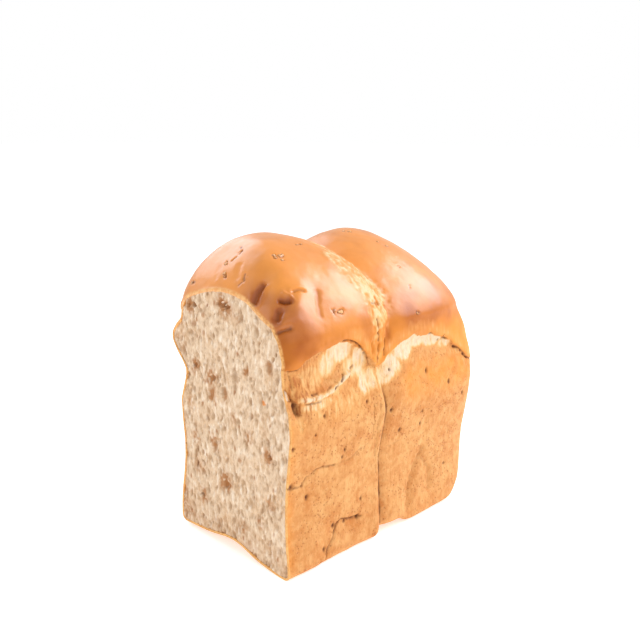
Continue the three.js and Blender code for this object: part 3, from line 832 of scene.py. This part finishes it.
def addNode(tree, kind, inputs=None, **settings):
    node = tree.nodes.new(kind)
    for name, value in settings.items():
        setattr(node, name, value)
    for socket, value in (inputs or {}).items():
        if isinstance(value, bpy.types.NodeSocket):
            tree.links.new(value, node.inputs[socket])
        else:
            node.inputs[socket].default_value = value
    return node


def mixColour(tree, factor, first, second, blend="MIX"):
    node = addNode(tree, "ShaderNodeMix", {0: factor, 6: first, 7: second}, data_type="RGBA", blend_type=blend)
    return node.outputs[2]


def calc(tree, operation, first, second=0.0, third=0.0):
    node = addNode(tree, "ShaderNodeMath", {0: first, 1: second, 2: third}, operation=operation)
    return node.outputs[0]


def remap(tree, value, fromLow, fromHigh, low=0.0, high=1.0):
    inputs = {"Value": value, "From Min": fromLow, "From Max": fromHigh, "To Min": low, "To Max": high}
    return addNode(tree, "ShaderNodeMapRange", inputs).outputs[0]


def mask(tree, name):
    return addNode(tree, "ShaderNodeAttribute", attribute_name=name).outputs["Fac"]


def newGroup(name, inputs, outputs):
    tree = bpy.data.node_groups.new(name, "ShaderNodeTree")
    for socket, kind, value in inputs:
        made = tree.interface.new_socket(socket, in_out="INPUT", socket_type="NodeSocket" + kind)
        if value is not None:
            made.default_value = value
    for socket, kind in outputs:
        tree.interface.new_socket(socket, in_out="OUTPUT", socket_type="NodeSocket" + kind)
    start = tree.nodes.new("NodeGroupInput")
    end = tree.nodes.new("NodeGroupOutput")
    return tree, start.outputs, end.inputs


def buildSpeckle():  # scattered dots: share of the cells that hold one, and their size in the cell
    inputs = [("Vector", "Vector", None), ("Scale", "Float", 400.0), ("Share", "Float", 0.3),
              ("Size", "Float", 0.3)]
    tree, given, out = newGroup("scatteredSpeckle", inputs, [("Mask", "Float")])
    cells = addNode(tree, "ShaderNodeTexVoronoi", {"Vector": given["Vector"], "Scale": given["Scale"]})
    chance = addNode(tree, "ShaderNodeSeparateColor", {0: cells.outputs["Color"]}).outputs[0]
    chosen = calc(tree, "LESS_THAN", chance, given["Share"])
    near = remap(tree, cells.outputs["Distance"], given["Size"], calc(tree, "MULTIPLY", given["Size"], 0.4))
    tree.links.new(calc(tree, "MULTIPLY", near, chosen), out["Mask"])
    return tree


def buildMottle():  # cloudy value from 0 to 1
    inputs = [("Vector", "Vector", None), ("Scale", "Float", 100.0), ("Contrast", "Float", 0.5)]
    tree, given, out = newGroup("cloudyMottle", inputs, [("Value", "Float")])
    cloud = addNode(tree, "ShaderNodeTexNoise", {"Vector": given["Vector"], "Scale": given["Scale"], "Detail": 4.0})
    low = calc(tree, "MULTIPLY", given["Contrast"], 0.5)
    high = calc(tree, "SUBTRACT", 1.0, low)
    tree.links.new(remap(tree, cloud.outputs[0], low, high), out["Value"])
    return tree


speckle = buildSpeckle()
mottle = buildMottle()


def useSpeckle(tree, vector, scale, share, size):
    node = addNode(tree, "ShaderNodeGroup", node_tree=speckle)
    tree.links.new(vector, node.inputs["Vector"])
    for name, value in (("Scale", scale), ("Share", share), ("Size", size)):
        node.inputs[name].default_value = value
    return node.outputs["Mask"]


def useMottle(tree, vector, scale, contrast):
    node = addNode(tree, "ShaderNodeGroup", node_tree=mottle)
    tree.links.new(vector, node.inputs["Vector"])
    node.inputs["Scale"].default_value = scale
    node.inputs["Contrast"].default_value = contrast
    return node.outputs["Value"]


def newMaterial(name):
    material = bpy.data.materials.new(name)
    material.use_nodes = True
    tree = material.node_tree
    shader = tree.nodes["Principled BSDF"]
    vector = addNode(tree, "ShaderNodeTexCoord").outputs["Object"]
    return material, tree, shader, vector


crustLook = {
    "wall": colour(221, 155, 84),
    "wallLight": colour(236, 185, 121),
    "wallDark": colour(195, 118, 54),
    "cap": colour(238, 150, 54),
    "capBrown": colour(166, 84, 16),
    "torn": colour(242, 216, 182),
    "tornYellow": colour(238, 197, 136),
    "tornTan": colour(226, 161, 90),
    "pore": colour(172, 94, 42),
    # dark colour of the painted shade in crevices and round the grain bits
    "crack": colour(92, 44, 20),
    "grain": colour(244, 190, 118),
    "rim": colour(244, 188, 114),
    "roughness": {"wall": 0.62, "glaze": 0.42, "torn": 0.85},
    "coatRoughness": 0.31,
    "coatIor": 1.55,
    "specular": 0.2,
    "relief": {"Strength": 0.6, "Distance": 0.0009},
}


def crustMaterial():
    material, tree, shader, vector = newMaterial("crust")
    look = crustLook
    pale, brownAndShade, crack, glaze = (mask(tree, name) for name in ("pale", "brownAndShade", "crack", "glaze"))
    yellow, fleck, rim, onCap = (mask(tree, name) for name in ("yellow", "fleck", "rim", "cap"))
    upright = addNode(tree, "ShaderNodeMapping", {"Vector": vector, "Scale": (1, 1, 0.16)}).outputs[0]

    # wall: golden and mottled, with small open pores
    cloud = useMottle(tree, vector, 60, 0.5)
    small = useMottle(tree, vector, 520, 0.45)
    patch = useMottle(tree, vector, 230, 0.6)
    streaks = useMottle(tree, upright, 420, 0.55)
    wall = mixColour(tree, cloud, look["wallDark"], look["wallLight"])
    wall = mixColour(tree, 0.35, wall, look["wall"])
    wall = mixColour(tree, remap(tree, patch, 0.5, 1, 0, 0.42), wall, look["wallDark"])
    wall = mixColour(tree, remap(tree, patch, 0.5, 0, 0, 0.4), wall, look["wallLight"])
    wall = mixColour(tree, remap(tree, streaks, 0.6, 1, 0, 0.4), wall, look["wallDark"])
    wall = mixColour(tree, remap(tree, small, 0.7, 1, 0, 0.6), wall, look["pore"])
    pores = useSpeckle(tree, vector, 480, 0.4, 0.34)
    bigPores = useSpeckle(tree, vector, 190, 0.2, 0.2)
    wall = mixColour(tree, calc(tree, "MULTIPLY", pores, 0.6), wall, look["pore"])
    wall = mixColour(tree, calc(tree, "MULTIPLY", bigPores, 0.7), wall, look["pore"])

    # cap: glazed orange, browner where it is more baked, and darker where shade is painted below the tops and in
    # the creases
    darkened = calc(tree, "ADD", brownAndShade, remap(tree, cloud, 0, 1, -0.16, 0.16))
    cap = mixColour(tree, darkened, look["cap"], look["capBrown"])

    # torn: from tan at its edges through yellow to cream, in shreds that run up the wall
    strand = useMottle(tree, upright, 520, 0.55)
    base = mixColour(tree, onCap, wall, cap)
    torn = calc(tree, "MULTIPLY", pale, remap(tree, strand, 0, 1, 1.25, 0.55))
    torn = calc(tree, "MULTIPLY", torn, remap(tree, patch, 0, 1, 1.1, 0.8))
    cream = mixColour(tree, yellow, look["torn"], look["tornYellow"])
    base = mixColour(tree, remap(tree, torn, 0.08, 0.35, 0, 0.8), base, look["tornTan"])
    base = mixColour(tree, remap(tree, torn, 0.22, 0.6), base, look["tornYellow"])
    base = mixColour(tree, remap(tree, torn, 0.42, 0.85), base, cream)
    dark = calc(tree, "MULTIPLY", mask(tree, "fibre"), remap(tree, strand, 0.45, 0.8, 0, 0.75))
    base = mixColour(tree, dark, base, look["pore"])
    # painted shadow round the grain bits
    base = mixColour(tree, remap(tree, fleck, 0.12, 0.3, 0, 0.5), base, look["crack"])
    base = mixColour(tree, remap(tree, fleck, 0.4, 0.6, 0, 0.8), base, look["grain"])
    onRim = calc(tree, "MULTIPLY", rim, remap(tree, small, 0.35, 0.65, 0.95, 0.35))
    base = mixColour(tree, onRim, base, look["rim"])
    # painted shade in the cracks, pits, seam and thin creases
    base = mixColour(tree, remap(tree, crack, 0.1, 0.85, 0, 0.9), base, look["crack"])
    tree.links.new(base, shader.inputs["Base Color"])

    level = look["roughness"]
    rough = addNode(tree, "ShaderNodeMix", {0: glaze, 2: level["wall"], 3: level["glaze"]}).outputs[0]
    rough = addNode(tree, "ShaderNodeMix", {0: pale, 2: rough, 3: level["torn"]}).outputs[0]
    tree.links.new(calc(tree, "ADD", rough, remap(tree, small, 0, 1, -0.05, 0.05)), shader.inputs["Roughness"])

    tree.links.new(glaze, shader.inputs["Coat Weight"])
    shader.inputs["Coat Roughness"].default_value = look["coatRoughness"]
    shader.inputs["Coat IOR"].default_value = look["coatIor"]
    shader.inputs["Specular IOR Level"].default_value = look["specular"]
    roughWall = calc(tree, "SUBTRACT", 1.0, onCap)
    height = calc(tree, "MULTIPLY", calc(tree, "ADD", small, remap(tree, pores, 0, 1, 0, -0.8)), roughWall)
    height = calc(tree, "ADD", height, calc(tree, "MULTIPLY", strand, pale))
    fine = useMottle(tree, vector, 230, 0.5)
    height = calc(tree, "ADD", height, calc(tree, "MULTIPLY", fine, remap(tree, onCap, 0, 1, 0.8, 0.2)))
    relief = addNode(tree, "ShaderNodeBump", {"Height": height, **look["relief"]})
    tree.links.new(relief.outputs[0], shader.inputs["Normal"])
    return material


crumbFinish = {
    "base": colour(230, 202, 168),
    "light": colour(254, 240, 218),
    "tan": colour(222, 178, 130),
    "shade": colour(170, 128, 88),
    # the cell and hollow colours are painted shade, darker the deeper the pore
    "cell": colour(176, 138, 100),
    "hollowShade": colour(124, 78, 42),
    "bran": colour(164, 98, 46),
    "stain": colour(178, 120, 70),
    "orange": colour(222, 132, 48),
    "roughness": 0.9,
    "specular": 0.25,
    "relief": {"Strength": 0.6, "Distance": 0.0008},
}


def crumbMaterial():
    material, tree, shader, vector = newMaterial("crumb")
    look = crumbFinish
    deep = mask(tree, "deep")
    slim = addNode(tree, "ShaderNodeMapping", {"Vector": vector, "Scale": (1.3, 1, 0.62)}).outputs[0]
    cloud = useMottle(tree, vector, 70, 0.5)
    fibre = useMottle(tree, slim, 260, 0.55)
    small = useMottle(tree, slim, 560, 0.5)
    base = mixColour(tree, remap(tree, cloud, 0.45, 1, 0, 0.5), look["base"], look["tan"])
    base = mixColour(tree, remap(tree, fibre, 0.45, 0, 0, 0.8), base, look["light"])
    base = mixColour(tree, remap(tree, fibre, 0.55, 1, 0, 0.5), base, look["shade"])
    base = mixColour(tree, remap(tree, small, 0.6, 1, 0, 0.5), base, look["shade"])
    base = mixColour(tree, remap(tree, small, 0.4, 0, 0, 0.4), base, look["light"])
    # painted shade in the pores, darker the deeper they are
    base = mixColour(tree, remap(tree, deep, 0.1, 0.5, 0, 0.62), base, look["cell"])
    base = mixColour(tree, remap(tree, deep, 0.4, 0.95, 0, 0.85), base, look["hollowShade"])
    base = mixColour(tree, remap(tree, mask(tree, "stain"), 0.05, 0.45, 0, 0.85), base, look["stain"])
    base = mixColour(tree, calc(tree, "MULTIPLY", mask(tree, "orange"), 0.85), base, look["orange"])
    bran = useSpeckle(tree, slim, 210, 0.14, 0.3)
    base = mixColour(tree, calc(tree, "MULTIPLY", bran, 0.65), base, look["bran"])
    bigBran = useSpeckle(tree, vector, 90, 0.12, 0.22)
    base = mixColour(tree, calc(tree, "MULTIPLY", bigBran, 0.5), base, look["bran"])
    tree.links.new(base, shader.inputs["Base Color"])
    shader.inputs["Roughness"].default_value = look["roughness"]
    shader.inputs["Specular IOR Level"].default_value = look["specular"]
    relief = addNode(tree, "ShaderNodeBump", {"Height": small, **look["relief"]})
    tree.links.new(relief.outputs[0], shader.inputs["Normal"])
    return material


crust = crustMaterial()
for obj in (frontLobe, rearLobe):
    obj.data.materials.clear()
    obj.data.materials.append(crust)
crumb.data.materials.clear()
crumb.data.materials.append(crumbMaterial())
for piece in (frontLobe, rearLobe, crumb):
    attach(piece, "root")
    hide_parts("loaf")
print("materials on")


# floor and light

studio = {
    "floorSize": 30,
    "floor": (0.9, 0.9, 0.9, 1),
    "floorGlow": 0.5,  # keeps the sweep white far behind the loaf
    "world": 0.6,
    "lightColour": (1, 0.955, 1.045),
    "lights": [  # name, place, aim, width, height, brightness of its face
        ("backSoftbox", (0.52, 1.0, 0.92), (0, 0, 0.14), 1.15, 0.85, 5.5),
        ("leftSoftbox", (-1.2, 0.05, 1.0), (0, 0, 0.14), 1.2, 1.0, 2.1),
        ("frontFill", (-0.3, -1.6, 1.2), (0, 0, 0.1), 1.2, 0.9, 1.3),
        ("rightFill", (1.6, -0.4, 1.3), (0, 0, 0.1), 1.0, 0.8, 1.0),
    ],
}


def buildStudio():
    bpy.ops.object.select_all(action="DESELECT")
    bpy.ops.mesh.primitive_plane_add(size=studio["floorSize"], location=(0, 0, 0))
    floor = bpy.context.active_object
    floor.name = "floor"
    material = bpy.data.materials.new("floor")
    material.use_nodes = True
    shader = material.node_tree.nodes["Principled BSDF"]
    shader.inputs["Base Color"].default_value = studio["floor"]
    shader.inputs["Roughness"].default_value = 0.9
    shader.inputs["Specular IOR Level"].default_value = 0.1
    shader.inputs["Emission Color"].default_value = (1, 1, 1, 1)
    shader.inputs["Emission Strength"].default_value = studio["floorGlow"]
    floor.data.materials.append(material)
    for name, place, aim, width, height, brightness in studio["lights"]:
        bpy.ops.object.light_add(type="AREA", location=place)
        light = bpy.context.active_object
        light.name = name
        light.data.shape = "RECTANGLE"
        light.data.size = width
        light.data.size_y = height
        light.data.color = studio["lightColour"]
        light.data.energy = brightness * math.pi * width * height
        light.rotation_euler = (Vector(aim) - Vector(place)).to_track_quat("-Z", "Y").to_euler()
    world = bpy.data.worlds.new("studio")
    world.use_nodes = True
    sky = world.node_tree.nodes["Background"]
    sky.inputs["Color"].default_value = (1, 1, 1, 1)
    seen = addNode(world.node_tree, "ShaderNodeLightPath").outputs["Is Camera Ray"]
    strength = remap(world.node_tree, seen, 0, 1, studio["world"], 1)  # the backdrop shows white
    world.node_tree.links.new(strength, sky.inputs["Strength"])
    bpy.context.scene.world = world
    bpy.context.scene.view_settings.view_transform = "Standard"


buildStudio()
print("studio ready")
